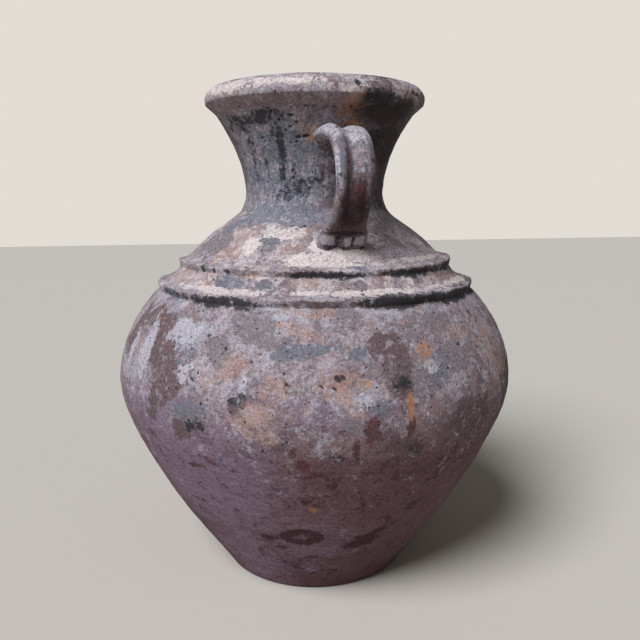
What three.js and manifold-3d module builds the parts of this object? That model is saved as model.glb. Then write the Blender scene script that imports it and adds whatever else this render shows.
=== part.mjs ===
// A large rustic terracotta amphora: thrown sections stacked on lapped joints and luted with
// slip, two applied cordons that cover the joints in the shoulder, a thick rolled lip, and two
// strap handles from the neck to the shoulder.
// Millimetres, +Z up. The origin is the centre of the foot, on the surface it stands on.
// The handles lie on the Y axis.
import * as THREE from 'three';
import * as BufferGeometryUtils from 'three/addons/utils/BufferGeometryUtils.js';
import Module from 'manifold-3d';

const wasm = await Module();
wasm.setup();

// Driving dimensions
const jarHeight = 618;
const footRadius = 120;
const bellyRadius = 254;
const bellyHeight = 259;
const neckRadius = 88;
const neckHeight = 488;
const lipRadius = 138;
const wallThickness = 12;
const floorThickness = 16;
const lap = 5; // how much higher a joint is on the inside than on the outside
const slip = 0.3; // the slip layer that bonds an applied piece to the wall
const facets = 48; // flats round every turned piece

// Heights of the joints between the thrown sections, on the outside of the wall
const lowerJoint = 140;
const bellyJoint = 252;
const lowerCordonJoint = 374;
const upperCordonJoint = 403;
const neckJoint = 466;
const lipJoint = 584;

// Strap handle
const strapWidth = 42;
const strapThickness = 12;
const strapSteps = 22;
const footPad = { across: 28, along: 11, proud: 9 };

// Outside of the wall from foot to lip, as radius and height. The cordons stand on it.
const wallLine = new THREE.SplineCurve([
  new THREE.Vector2(footRadius, 0),
  new THREE.Vector2(145, 37),
  new THREE.Vector2(171, 75),
  new THREE.Vector2(195, 113),
  new THREE.Vector2(216, 152),
  new THREE.Vector2(235, 191),
  new THREE.Vector2(249, 227),
  new THREE.Vector2(bellyRadius, bellyHeight),
  new THREE.Vector2(249, 291),
  new THREE.Vector2(235, 326),
  new THREE.Vector2(210, 361),
  new THREE.Vector2(174, 398),
  new THREE.Vector2(138, 433),
  new THREE.Vector2(110.5, 453),
  new THREE.Vector2(93, 469),
  new THREE.Vector2(neckRadius, neckHeight),
  new THREE.Vector2(92, 517),
  new THREE.Vector2(104, 550),
  new THREE.Vector2(124, lipJoint),
  new THREE.Vector2(lipRadius - 0.5, 598),
]);
const wallSamples = wallLine.getPoints(400);

function outerRadius(z) {
  const above = wallSamples.findIndex((point) => point.y >= z);
  if (above <= 0) return above === 0 ? wallSamples[0].x : wallSamples.at(-1).x;
  const [low, high] = [wallSamples[above - 1], wallSamples[above]];
  return THREE.MathUtils.mapLinear(z, low.y, high.y, low.x, high.x);
}

// The wall has the same thickness square to its surface everywhere, so it is wider where it leans.
function innerRadius(z) {
  const reach = 2;
  const lean = (outerRadius(z + reach) - outerRadius(z - reach)) / (2 * reach);
  return outerRadius(z) - wallThickness * Math.hypot(1, lean);
}

function heightsBetween(low, high, steps) {
  return Array.from({ length: steps + 1 }, (_, k) => low + ((high - low) * k) / steps);
}

function turned(outline) {
  const points = outline.map(([radius, z]) => new THREE.Vector2(radius, z));
  const geometry = new THREE.LatheGeometry(points, facets);
  geometry.rotateX(Math.PI / 2);
  return geometry;
}

// A ring of wall. Its joint faces slope up towards the inside, so each section cups the next. Only
// the lowest ring has a level joint, where it stands on the slab.
function wallSection(low, high, steps, lowerLap = lap) {
  const outside = heightsBetween(low, high, steps).map((z) => [outerRadius(z), z]);
  const inside = heightsBetween(high + lap, low + lowerLap, steps).map((z) => [innerRadius(z), z]);
  return turned([...outside, ...inside, outside[0]]);
}

// The thrown disc that the jar stands on. The lower wall stands on it.
function floorSlab() {
  return turned([
    [0, 0],
    [footRadius, 0],
    [outerRadius(floorThickness), floorThickness],
    [0, floorThickness],
  ]);
}

// A ledge of clay laid round the wall. Its top slopes, its edge is thin and its underside cuts in.
function cordon(low, high, reach) {
  const bed = heightsBetween(high, low, 3).map((z) => [outerRadius(z) + slip, z]);
  return turned([
    [outerRadius(low) + 2, low],
    [reach - 1, low + 3.5],
    [reach, low + 7],
    [reach - 1, high - 5],
    [reach - 4.5, high - 2],
    ...bed,
    [outerRadius(low) + 2, low],
  ]);
}

// The thick lip: a short slope under a sharp lower edge, a face that leans in, and a rolled top
function lipCollar() {
  const rolledTop = new THREE.Path();
  rolledTop.moveTo(lipRadius, 603);
  rolledTop.bezierCurveTo(137, 611, 127, jarHeight, 116, jarHeight);
  rolledTop.bezierCurveTo(110, jarHeight, 107, 613, 107, 605);
  const joint = [outerRadius(lipJoint), lipJoint];
  const rolled = rolledTop.getPoints(6).map((point) => [point.x, point.y]);
  return turned([joint, [lipRadius - 0.5, 598], ...rolled,
    [innerRadius(lipJoint + lap), lipJoint + lap], joint]);
}

function solid(geometry) {
  const bare = geometry.index ? geometry.toNonIndexed() : geometry.clone();
  bare.deleteAttribute('normal');
  bare.deleteAttribute('uv');
  const merged = BufferGeometryUtils.mergeVertices(bare, 1e-3);
  return new wasm.Manifold(new wasm.Mesh({
    numProp: 3,
    vertProperties: new Float32Array(merged.attributes.position.array),
    triVerts: new Uint32Array(merged.index.array),
  }));
}

function geometryOf(manifold) {
  const { vertProperties, triVerts } = manifold.getMesh();
  const geometry = new THREE.BufferGeometry();
  geometry.setAttribute('position', new THREE.BufferAttribute(vertProperties, 3));
  geometry.setIndex(new THREE.BufferAttribute(triVerts, 1));
  geometry.computeVertexNormals();
  return geometry;
}

// The space the jar takes up near a handle, grown by the slip layer
function vesselCore() {
  const outside = heightsBetween(405, lipJoint, 24).map((z) => [outerRadius(z) + slip, z]);
  return turned([[0, 405], ...outside, [0, lipJoint]]);
}

// Strap section: the first axis runs across the strap, the second towards the neck. The outer
// face has a deep flute left of the middle and a narrow one near the right edge.
function strapSection() {
  const half = strapWidth / 2;
  const face = strapThickness / 2;
  const section = new THREE.Shape();
  section.moveTo(half - 3, face);
  section.lineTo(3 - half, face);
  section.quadraticCurveTo(-half, face, -half, 0);
  section.quadraticCurveTo(-half, -face - 1, -half + 7, -face - 1);
  section.lineTo(-11, 1 - face);
  section.lineTo(-5, -face - 0.5);
  section.quadraticCurveTo(1, 2 - face, 6, 4.5 - face);
  section.quadraticCurveTo(9, -face - 2, half - 7, -face - 2);
  section.quadraticCurveTo(half, -face - 1, half, 0);
  section.quadraticCurveTo(half, face, half - 3, face);
  return section;
}

// Middle of the strap: out of the neck, over the arch and down in to the shoulder
const strapPath = new THREE.CatmullRomCurve3([
  new THREE.Vector3(0, -94, 551),
  new THREE.Vector3(0, -120, 554),
  new THREE.Vector3(0, -148, 551),
  new THREE.Vector3(0, -172, 538),
  new THREE.Vector3(0, -186, 518),
  new THREE.Vector3(0, -186, 496),
  new THREE.Vector3(0, -174, 475),
  new THREE.Vector3(0, -157, 455),
  new THREE.Vector3(0, -142, 437),
  new THREE.Vector3(0, -134, 424),
]);

// A handle is a pulled strap with its lower end pressed out into a pad on the shoulder.
function strapHandle() {
  const strap = new THREE.ExtrudeGeometry(strapSection(), {
    extrudePath: strapPath,
    steps: strapSteps,
    curveSegments: 3,
  });
  const pad = new THREE.SphereGeometry(1, 20, 12);
  pad.scale(footPad.across, footPad.along, footPad.proud);
  pad.rotateX(THREE.MathUtils.degToRad(42));
  pad.translate(0, -141, 436);
  return geometryOf(solid(strap).add(solid(pad)).subtract(solid(vesselCore())));
}

const clay = new THREE.MeshStandardMaterial({ color: 0x8f7f80, roughness: 0.92, metalness: 0 });

function piece(name, geometry) {
  const mesh = new THREE.Mesh(geometry, clay.clone());
  mesh.name = name;
  return mesh;
}

const amphora = new THREE.Group();
amphora.add(
  piece('floor_slab', floorSlab()),
  piece('lower_wall', wallSection(floorThickness, lowerJoint, 5, 0)),
  piece('belly_wall', wallSection(lowerJoint, bellyJoint, 5)),
  piece('upper_belly_wall', wallSection(bellyJoint, lowerCordonJoint, 6)),
  piece('lower_cordon', cordon(367, 386, 203.5)),
  piece('shoulder_band', wallSection(lowerCordonJoint, upperCordonJoint, 2)),
  piece('upper_cordon', cordon(396, 414, 176.5)),
  piece('shoulder_cone', wallSection(upperCordonJoint, neckJoint, 5)),
  piece('neck', wallSection(neckJoint, lipJoint, 7)),
  piece('lip_collar', lipCollar()),
);

const handle = strapHandle();
const frontHandle = piece('handle_front', handle);
const backHandle = piece('handle_back', handle.clone());
backHandle.rotation.z = Math.PI;
amphora.add(frontHandle, backHandle);

export default amphora;
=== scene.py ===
# %% [markdown]
# # A large terracotta amphora
# A floor-standing jar is made in stages: rings of clay are thrown one by one, stacked and luted
# together, ledges of clay are laid over two of the joints, and pulled straps become the handles.
# This lesson follows the same order. The plain model that it starts from gives every size and
# place; here each plain piece gets its real surface, and then the fired, limed and smoked finish.

# %% Load the plain model
import math

import bpy
import numpy as np
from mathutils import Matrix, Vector, noise


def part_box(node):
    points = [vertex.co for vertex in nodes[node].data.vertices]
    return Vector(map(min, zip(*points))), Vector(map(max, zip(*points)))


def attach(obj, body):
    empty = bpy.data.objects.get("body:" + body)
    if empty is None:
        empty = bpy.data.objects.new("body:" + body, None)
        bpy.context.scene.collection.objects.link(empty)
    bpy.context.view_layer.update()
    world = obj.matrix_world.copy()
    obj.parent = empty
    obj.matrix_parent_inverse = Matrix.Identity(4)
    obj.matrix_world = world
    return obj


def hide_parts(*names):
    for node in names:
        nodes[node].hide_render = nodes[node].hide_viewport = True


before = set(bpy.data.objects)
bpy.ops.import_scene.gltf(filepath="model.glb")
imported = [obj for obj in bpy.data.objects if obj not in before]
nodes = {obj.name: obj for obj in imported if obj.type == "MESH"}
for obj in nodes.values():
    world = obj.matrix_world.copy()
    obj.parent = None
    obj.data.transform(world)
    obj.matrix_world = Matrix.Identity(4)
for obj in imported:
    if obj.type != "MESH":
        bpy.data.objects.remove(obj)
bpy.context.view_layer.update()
MM = 0.001
jar_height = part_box("lip_collar")[1].z
print("pieces:", sorted(nodes))
print("jar height, m:", round(jar_height, 4))

# %% [markdown]
# ## Reading the outlines
# Every turned piece of the plain model was made from one outline, so one cut through it gives that
# outline back. The cut is taken on the right, where one corner of every facet lies. Walking along
# the edges that lie in the cut puts its points in order, starting from the lowest one and going
# up the outside first.

# %% Outlines of the turned pieces
def outline_of(node):
    mesh = nodes[node].data
    place = {}
    for vertex in mesh.vertices:
        x, y, z = vertex.co
        if abs(y) < 0.01 * MM and x > -0.01 * MM:
            place[vertex.index] = (round(x, 5), round(z, 5))
    joined = {}
    for edge in mesh.edges:
        a, b = (place.get(index) for index in edge.vertices)
        if a and b and a != b:
            joined.setdefault(a, set()).add(b)
            joined.setdefault(b, set()).add(a)
    start = min(place.values(), key=lambda point: (point[1], -point[0]))
    walk = [start, max(joined[start])]
    while True:
        ahead = [point for point in joined[walk[-1]] if point not in walk]
        if not ahead:
            return np.array(walk)
        walk.append(max(ahead))


WALLS = ["lower_wall", "belly_wall", "upper_belly_wall", "shoulder_band", "shoulder_cone", "neck"]
outlines = {name: outline_of(name) for name in WALLS}
for name, points in outlines.items():
    print(name, len(points), "points, from", points[0], "to", points[len(points) // 2 - 1])

# %% [markdown]
# The plain outlines step every couple of centimetres. A smooth curve through all their outer points
# gives the line that a potter's rib would leave, and a second one gives the inside of the wall.
# Both run through from foot to lip, so neighbouring rings agree exactly where they meet.

# %% The smooth lines of the wall
def smooth_line(points, per_span=24):
    ends = np.vstack([2 * points[0] - points[1], points, 2 * points[-1] - points[-2]])
    t = np.linspace(0, 1, per_span, endpoint=False)[:, None]
    spans = [
        0.5 * (2 * b + (c - a) * t + (2 * a - 5 * b + 4 * c - d) * t**2 + (3 * b - a - 3 * c + d) * t**3)
        for a, b, c, d in zip(ends, ends[1:], ends[2:], ends[3:])
    ]
    return np.vstack(spans + [points[-1:]])


def joined_up(halves):
    points = np.vstack(halves)
    keep = np.append(True, np.diff(points[:, 1]) > 0.1 * MM)
    return smooth_line(points[keep])


def resampled(line, spacing):
    along = np.append(0, np.cumsum(np.hypot(*np.diff(line, axis=0).T)))
    count = max(2, math.ceil(along[-1] / spacing) + 1)
    at = np.linspace(0, along[-1], count)
    return np.stack([np.interp(at, along, line[:, axis]) for axis in (0, 1)], axis=1)


def stretch(line, low, high, spacing):
    between = line[(line[:, 1] > low) & (line[:, 1] < high)]
    ends = [[np.interp(z, line[:, 1], line[:, 0]), z] for z in (low, high)]
    return resampled(np.vstack([ends[:1], between, ends[1:]]), spacing)


foot_edge = min(outline_of("floor_slab"), key=lambda point: (point[1], -point[0]))
outer_line = joined_up([[foot_edge]] + [points[: len(points) // 2] for points in outlines.values()])
inner_line = joined_up([points[len(points) // 2 :][::-1] for points in outlines.values()])
print("foot radius, mm:", round(float(foot_edge[0]) / MM, 1))
print("widest, mm:", round(float(outer_line[:, 0].max()) / MM, 1))

# %% [markdown]
# The wall isn't quite one sweep: where the ledges were luted on, the potter's finger ran along below
# each one and left a shallow groove, and the old joint low on the belly still shows as a faint scar.

# %% Grooves under the ledges
GROOVES = [(0.3695, 0.0035, 1.6), (0.390, 0.0055, 2.6), (0.140, 0.0016, 0.12)]  # height, spread, depth in mm


def with_grooves(line):
    radius, z = line.T
    depth = sum(deep * MM * np.exp(-(((z - at) / wide) ** 2)) for at, wide, deep in GROOVES)
    return np.stack([radius - depth, z], axis=1)


outer_line = with_grooves(resampled(outer_line, 1 * MM))


def wall_radius(z):
    return np.interp(z, outer_line[:, 1], outer_line[:, 0])


print("wall just below the lower ledge, mm:", round(float(wall_radius(0.366)) / MM, 1))

# %% [markdown]
# ## Throwing on the wheel
# A turned piece is a flat outline carried once round an axis, which is what Spin does. The outline
# starts as one point, and each extrude pulls the line on to the next. The wheel makes the same
# number of steps for every ring, so that the rings' edges match, and merging doubles closes the
# seam where the turn ends. A lathe curve or the Screw modifier would do as well, but Spin leaves a
# plain mesh that can be worked on straight away.

# %% The potter's wheel
WHEEL_STEPS = 480


def shade(piece):
    bpy.ops.object.select_all(action="DESELECT")
    piece.select_set(True)
    bpy.context.view_layer.objects.active = piece
    bpy.ops.object.shade_smooth_by_angle(angle=math.radians(50))


def throw(name, outline):
    bpy.ops.object.select_all(action="DESELECT")
    first = outline[0]
    bpy.ops.mesh.primitive_plane_add(size=MM, location=(first[0], 0, first[1]))
    piece = bpy.context.object
    piece.name = piece.data.name = name
    bpy.ops.object.mode_set(mode="EDIT")
    bpy.ops.mesh.select_all(action="SELECT")
    bpy.ops.mesh.merge(type="CENTER")
    for step in np.diff(outline, axis=0):
        bpy.ops.mesh.extrude_vertices_move(TRANSFORM_OT_translate={"value": (step[0], 0, step[1])})
    bpy.ops.mesh.select_all(action="SELECT")
    bpy.ops.mesh.spin(steps=WHEEL_STEPS, angle=2 * math.pi, center=(0, 0, 0), axis=(0, 0, 1))
    bpy.ops.mesh.select_all(action="SELECT")
    bpy.ops.mesh.remove_doubles(threshold=0.02 * MM)
    bpy.ops.mesh.normals_make_consistent(inside=False)
    bpy.ops.object.mode_set(mode="OBJECT")
    bpy.ops.object.transform_apply(location=True, rotation=True, scale=True)
    print(name, len(piece.data.polygons), "faces")
    return piece


# %% [markdown]
# ## The thrown rings
# The outside of each ring gets a row of points every few millimetres, enough to carry dents and
# turning marks. The inside is only seen through the mouth, so its rows are further apart. The neck
# is seen closest, so its rows are the finest.

# %% Wall rings
OUTSIDE_ROWS, INSIDE_ROWS = 2.4 * MM, 8 * MM
pieces = {}
for name, points in outlines.items():
    half = len(points) // 2
    finer = 0.6 if name == "neck" else 1
    outside = stretch(outer_line, points[0][1], points[half - 1][1], OUTSIDE_ROWS * finer)
    inside = stretch(inner_line, points[-1][1], points[half][1], INSIDE_ROWS * finer)
    pieces[name] = throw(name + "_clay", np.vstack([outside, inside[::-1], outside[:1]]))

# %% [markdown]
# The floor is a thrown disc. Its lower edge is worn round, because the jar has been dragged about.

# %% Floor
floor_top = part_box("floor_slab")[1].z
worn = 2 * MM
floor_side = stretch(outer_line, worn, floor_top, OUTSIDE_ROWS)
floor_outline = np.array(
    [[0, 0], [foot_edge[0] / 2, 0], [foot_edge[0] - 3 * worn, 0], [foot_edge[0] - worn, 0.3 * worn]]
    + floor_side.tolist()
    + [[foot_edge[0] / 2, floor_top], [0, floor_top]]
)
pieces["floor_slab"] = throw("floor_slab_clay", floor_outline)

# %% [markdown]
# The lip is a thick coil laid on the neck and turned to shape: a sharp lower edge with a slope cut
# away under it, a face that stands upright and then rounds over, and a soft roll down into the
# mouth. The plain outline gives its joint and its size, and a smooth curve goes over its top.

# %% Lip
lip_plain = outline_of("lip_collar")
lip_foot = lip_plain[0]
lip_arris = lip_plain[1] - [0.7 * MM, 2.6 * MM]
lip_face = lip_arris + np.array([[0, 0], [0.8, 3.5], [0.9, 7.5], [-0.3, 11.2], [-3.2, 15.4]]) * MM
lip_roll = lip_plain[lip_plain[:, 0] < lip_face[-1][0] - 2 * MM]
lip_roll = lip_roll[lip_roll[:, 1] > lip_plain[-2][1] - 0.1 * MM]
lip_over = resampled(smooth_line(np.vstack([lip_face, lip_roll])), 1.3 * MM)
lip_inside = resampled(np.array([lip_over[-1], lip_plain[-1]]), 3 * MM)
lip_slope = resampled(np.array([lip_foot, lip_arris]), 1.6 * MM)
lip_outline = np.vstack([lip_slope[:-1], lip_over[:-1], lip_inside, lip_slope[:1]])
pieces["lip_collar"] = throw("lip_collar_clay", lip_outline)
print("lip reaches, mm:", (lip_outline.max(axis=0) / MM).round(1))

# %% [markdown]
# ## The ledges
# The two ledges are coils pressed over the joints above and below the band. Each has a face that
# leans in a little towards its foot, a thin edge, and a top that runs level and then sweeps up
# until it fades into the wall. Its back lies on the wall, a hair inside it so that no gap shows
# where it fades out. Points here are places out from the wall and up from the ledge's foot.

# %% Two ledges
EDGE_ROWS = 1.3 * MM


def ledge(name, foot, face_height, reach, fade):
    edge = foot + face_height
    out = [
        (wall_radius(foot) - 0.6 * MM, foot - 0.5 * MM),
        (reach - 2.6 * MM, foot + 0.6 * MM),
        (reach - 1.6 * MM, foot + 0.35 * face_height),
        (reach - 0.5 * MM, foot + 0.75 * face_height),
        (reach, edge - 1.0 * MM),
        (reach - 0.8 * MM, edge + 0.5 * MM),
        (reach - 2.6 * MM, edge + 1.0 * MM),
        (reach - 7.0 * MM, edge + 1.8 * MM),
        (wall_radius(edge + 4 * MM) + 1.9 * MM, edge + 4 * MM),
        (wall_radius(edge + 7 * MM) + 0.6 * MM, edge + 7 * MM),
        (wall_radius(edge + fade) - 0.4 * MM, edge + fade),
    ]
    front = resampled(smooth_line(np.array(out)), EDGE_ROWS)
    back = stretch(outer_line, front[0][1], front[-1][1], 3 * MM) - [0.4 * MM, 0]
    return throw(name, np.vstack([front, back[::-1][1:-1], front[:1]]))


pieces["lower_cordon"] = ledge("lower_cordon_clay", 0.3665, 12.5 * MM, 0.2030, 10 * MM)
pieces["upper_cordon"] = ledge("upper_cordon_clay", 0.3965, 9.5 * MM, 0.1758, 10 * MM)

# %% [markdown]
# ## Pulled handles
# A handle starts as a lump of clay that is pulled down through a wet fist into a long strap. The
# fingers leave it with thick ribs along its edges and flutes between them. It could be extruded
# along a bent path at once, but a potter first pulls it straight and then bends it, and that is
# easier to control here too: a flat bar is drawn out straight, with its ribs, and then every point
# is carried over on to the arch. Along the bar, 0 is the end luted to the neck.

# %% Where the strap runs
STRAP_LINE = [  # distance from the jar's axis and height, along the middle of the strap
    (0.0968, 0.5510), (0.1080, 0.5535), (0.1300, 0.5545), (0.1500, 0.5510), (0.1690, 0.5410),
    (0.1830, 0.5240), (0.1880, 0.5060), (0.1855, 0.4880), (0.1760, 0.4700), (0.1630, 0.4560),
    (0.1530, 0.4460), (0.1465, 0.4385), (0.1425, 0.4330), (0.1390, 0.4275), (0.1330, 0.4255),
    (0.1250, 0.4285),
]
strap_line = resampled(smooth_line(np.array(STRAP_LINE)), 2.2 * MM)
strap_steps = len(strap_line) - 1
strap_length = float(np.hypot(*np.diff(strap_line, axis=0).T).sum())
print("strap length, mm:", round(strap_length / MM), "in", strap_steps, "steps")

# %% [markdown]
# The bar's section is a rounded oblong. A deep flute runs down it, starting near the middle and
# wandering to the left, and a narrow one runs near the right edge, so three ribs of different
# widths stand between them. The strap is wide where it joins the neck, narrowest low down, and
# splayed out where it was pressed on.

# %% Drawing out the strap
SECTION_POINTS = 88


def bell(x, middle, width):
    return np.exp(-(((x - middle) / width) ** 2))


def strap_width(t):
    along = [0, 0.1, 0.3, 0.5, 0.68, 0.78, 0.86, 1]
    half_width = [25.5, 24.5, 22.4, 21.0, 19.8, 22.5, 28.5, 29]
    return np.interp(t, along, half_width) * MM


def draw_out_strap(name):
    bpy.ops.object.select_all(action="DESELECT")
    bpy.ops.mesh.primitive_circle_add(vertices=SECTION_POINTS, radius=1, fill_type="NGON")
    bar = bpy.context.object
    bar.name = bar.data.name = name
    bpy.ops.object.mode_set(mode="EDIT")
    bpy.ops.mesh.select_all(action="SELECT")
    for _ in range(strap_steps):
        bpy.ops.mesh.extrude_region_move(TRANSFORM_OT_translate={"value": (0, 0, 1)})
    bpy.ops.mesh.select_all(action="SELECT")
    bpy.ops.mesh.normals_make_consistent(inside=False)
    bpy.ops.object.mode_set(mode="OBJECT")
    return bar


def points_of(piece):
    flat = np.empty(len(piece.data.vertices) * 3)
    piece.data.vertices.foreach_get("co", flat)
    return flat.reshape(-1, 3)


def move_points(piece, points):
    piece.data.vertices.foreach_set("co", points.ravel())
    piece.data.update()


def strap_section(across, through, t):
    """Across and through the strap, both from -1 to 1, to millimetres."""
    upper = through > 0
    body = np.abs(through) ** 0.62
    low = np.clip((t - 0.55) / 0.25, 0, 1)
    arch = bell(t, 0.2, 0.2)
    flute = np.interp(t, [0, 0.2, 0.4, 0.6, 1], [-0.02, -0.02, -0.25, -0.36, -0.34])
    ribs = 6.4 + 1.7 * bell(across, -0.74, 0.3) + bell(across, 0.3, 0.34) + bell(across, 0.84, 0.2)
    flutes = (4.9 - 2.0 * low - 1.2 * arch) * bell(across, flute, 0.23 + 0.1 * arch)
    flutes = flutes + (1.6 - low) * (1 - arch) * bell(across, 0.52, 0.1)
    lobes = arch * (2.6 * bell(across, -0.6, 0.4) + 0.6 * bell(across, 0.6, 0.4))
    outer = ribs - flutes + lobes
    under = 5.2 + 1.4 * bell(np.abs(across), 0.85, 0.3) - 1.2 * bell(across, 0, 0.5)
    return body * np.where(upper, outer, -under) * MM


def bend_on(bar):
    points = points_of(bar)
    across, through, along = points.T
    t = along / strap_steps
    radius, height = (np.interp(along, range(strap_steps + 1), strap_line[:, axis]) for axis in (0, 1))
    heading = np.gradient(strap_line, axis=0)
    heading /= np.linalg.norm(heading, axis=1)[:, None]
    run, rise = (np.interp(along, range(strap_steps + 1), heading[:, axis]) for axis in (0, 1))
    outward = strap_section(across, through, t)
    sideways = across * strap_width(t)
    lean = np.interp(t, [0, 0.15, 0.4, 0.6, 0.78, 0.86, 1], [1.5, 2.0, 2.3, 1.4, -1.0, 0, 0]) * MM
    move_points(bar, np.stack([sideways + lean, -(radius - rise * outward), height + run * outward], axis=1))


bar = draw_out_strap("handle_front_clay")
bend_on(bar)
print("strap points:", len(bar.data.vertices))

# %% [markdown]
# The foot of the strap is pressed on to the shoulder with the fingertips. Each press pushes the
# clay out sideways, so the foot ends in three lobes with clefts between them, and each lobe's edge
# reaches a different way down.

# %% Pressing the foot on
FOOT_LOBES = [(-16, 10, 3.4, 0.0), (3.5, 6.5, 2.4, -0.5), (18.5, 8, 2.6, 1.2)]  # place, width, bulge, raised


def press_foot(bar):
    points = points_of(bar)
    x, y, z = (points / MM).T
    foot = np.clip((448 - z) / 6, 0, 1) * np.clip((-y - 128) / 8, 0, 1)
    lobes = np.max([bell(x, place, wide) for place, wide, _, _ in FOOT_LOBES], axis=0)
    bulge = sum(out * bell(x, place, wide) for place, wide, out, _ in FOOT_LOBES)
    raised = sum(up * bell(x, place, wide) for place, wide, _, up in FOOT_LOBES)
    clefts = (1 - lobes) ** 1.5
    press = foot * (bulge - 7.5 * clefts)
    slope = np.array([0, -0.67, 0.74])
    raised = (foot * (raised + 4.5 * clefts))[:, None] * [0, 0.4, 0.6]
    points = points + (press[:, None] * slope + raised) * MM
    move_points(bar, points)


press_foot(bar)
bpy.ops.object.select_all(action="DESELECT")
bar.select_set(True)
bpy.context.view_layer.objects.active = bar
pieces["handle_front"] = bar

# %% [markdown]
# The second handle is a copy of the first on the far side, with its own mesh, so that the dents
# that come next can differ.

# %% Second handle
second = bar.copy()
second.data = bar.data.copy()
second.name = second.data.name = "handle_back_clay"
bpy.context.scene.collection.objects.link(second)
move_points(second, points_of(second) * [-1, -1, 1])
pieces["handle_back"] = second
for side in ("handle_front", "handle_back"):
    low, high = points_of(pieces[side]).min(axis=0), points_of(pieces[side]).max(axis=0)
    print(side, "mm:", (low / MM).round(), (high / MM).round())

# %% [markdown]
# ## The hand in it
# Nothing thrown by hand is quite round. The rings went a little oval and leaned, the wall carries
# shallow lumps from the paddle, fingers left ridges on the wheel, and the ledges wander. All of
# this is one movement that depends only on where a point is, and every piece goes through it, so
# pieces that touched before still touch after it. Blender's Displace modifier could do one texture
# at a time; moving the points in code lets the ledges have their own waver.

# %% Unevenness
LOWER_LEDGE_AT, UPPER_LEDGE_AT, LEDGE_REACH = 0.3785, 0.407, 0.005
LEAN_TO_RIGHT = 1.0 * MM
RIGHT_OF_VIEW = np.array([0.976, -0.218, 0])


def waver(points, spacing, seed, stretch_up=1.0):
    scaled = points * [1 / spacing, 1 / spacing, stretch_up / spacing] + seed * 17.3
    return np.array([noise.noise(point) for point in scaled])


def turned_to(angle, towards, spread):
    away = (angle - math.radians(towards) + math.pi) % (2 * math.pi) - math.pi
    return np.exp(-((away / math.radians(spread)) ** 2))


def by_hand(points):
    x, y, z = points.T
    radius = np.hypot(x, y)
    angle = np.arctan2(x, -y)
    ring = np.stack([x, y, 0 * z], axis=1)
    on_ledge = sum(np.exp(-(((z - at) / LEDGE_REACH) ** 2)) for at in (LOWER_LEDGE_AT, UPPER_LEDGE_AT))
    proud = np.clip((radius - wall_radius(z)) / (6 * MM), 0, 1) * np.clip((0.43 - z) / (10 * MM), 0, 1)
    handle = (np.abs(x) < 0.032) & (radius > wall_radius(z)) & (z > 0.42) & (z < 0.575)
    out = 0.9 * MM * waver(points, 0.055, 1)
    out += 0.45 * MM * waver(points, 0.016, 2)
    out += np.where(handle, 0, 0.35 * MM) * waver(points * [0.12, 0.12, 1], 0.007, 4)
    out += 0.8 * MM * np.cos(2 * (angle - 0.9)) * np.clip(z / 0.2, 0, 1)
    out += proud * on_ledge * 1.1 * MM * waver(ring, 0.022, 5)
    up = proud * (1.5 * waver(ring, 0.03, 6) + 0.8 * waver(ring, 0.009, 7)) * MM
    up += proud * 3.0 * MM * turned_to(angle, 78, 42) * np.exp(-(((z - 0.404) / 0.012) ** 2))
    chips = np.clip(waver(ring, 0.011, 9) - 0.28, 0, 0.3) + np.clip(waver(ring, 0.004, 10) - 0.3, 0, 0.2)
    out -= proud * on_ledge * 5 * MM * chips
    up -= proud * on_ledge * 3 * MM * chips
    near_lip = np.clip((z - 0.59) / 0.02, 0, 1)
    up += near_lip * 0.8 * MM * waver(ring, 0.05, 8)
    out = np.where(z < 4 * MM, out * z / (4 * MM), out)
    unit = ring / np.maximum(radius, 1 * MM)[:, None]
    shift = LEAN_TO_RIGHT * (np.exp(-(((z - 0.38) / 0.1) ** 2)) + np.clip((z - 0.56) / 0.03, 0, 1))
    moved = points + unit * out[:, None] + shift[:, None] * RIGHT_OF_VIEW
    moved[:, 2] += up
    return moved


for piece in pieces.values():
    move_points(piece, by_hand(points_of(piece)))
    shade(piece)
print("widest after the hand, mm:", round(float(points_of(pieces["upper_belly_wall"])[:, 0].max()) / MM, 1))
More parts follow.
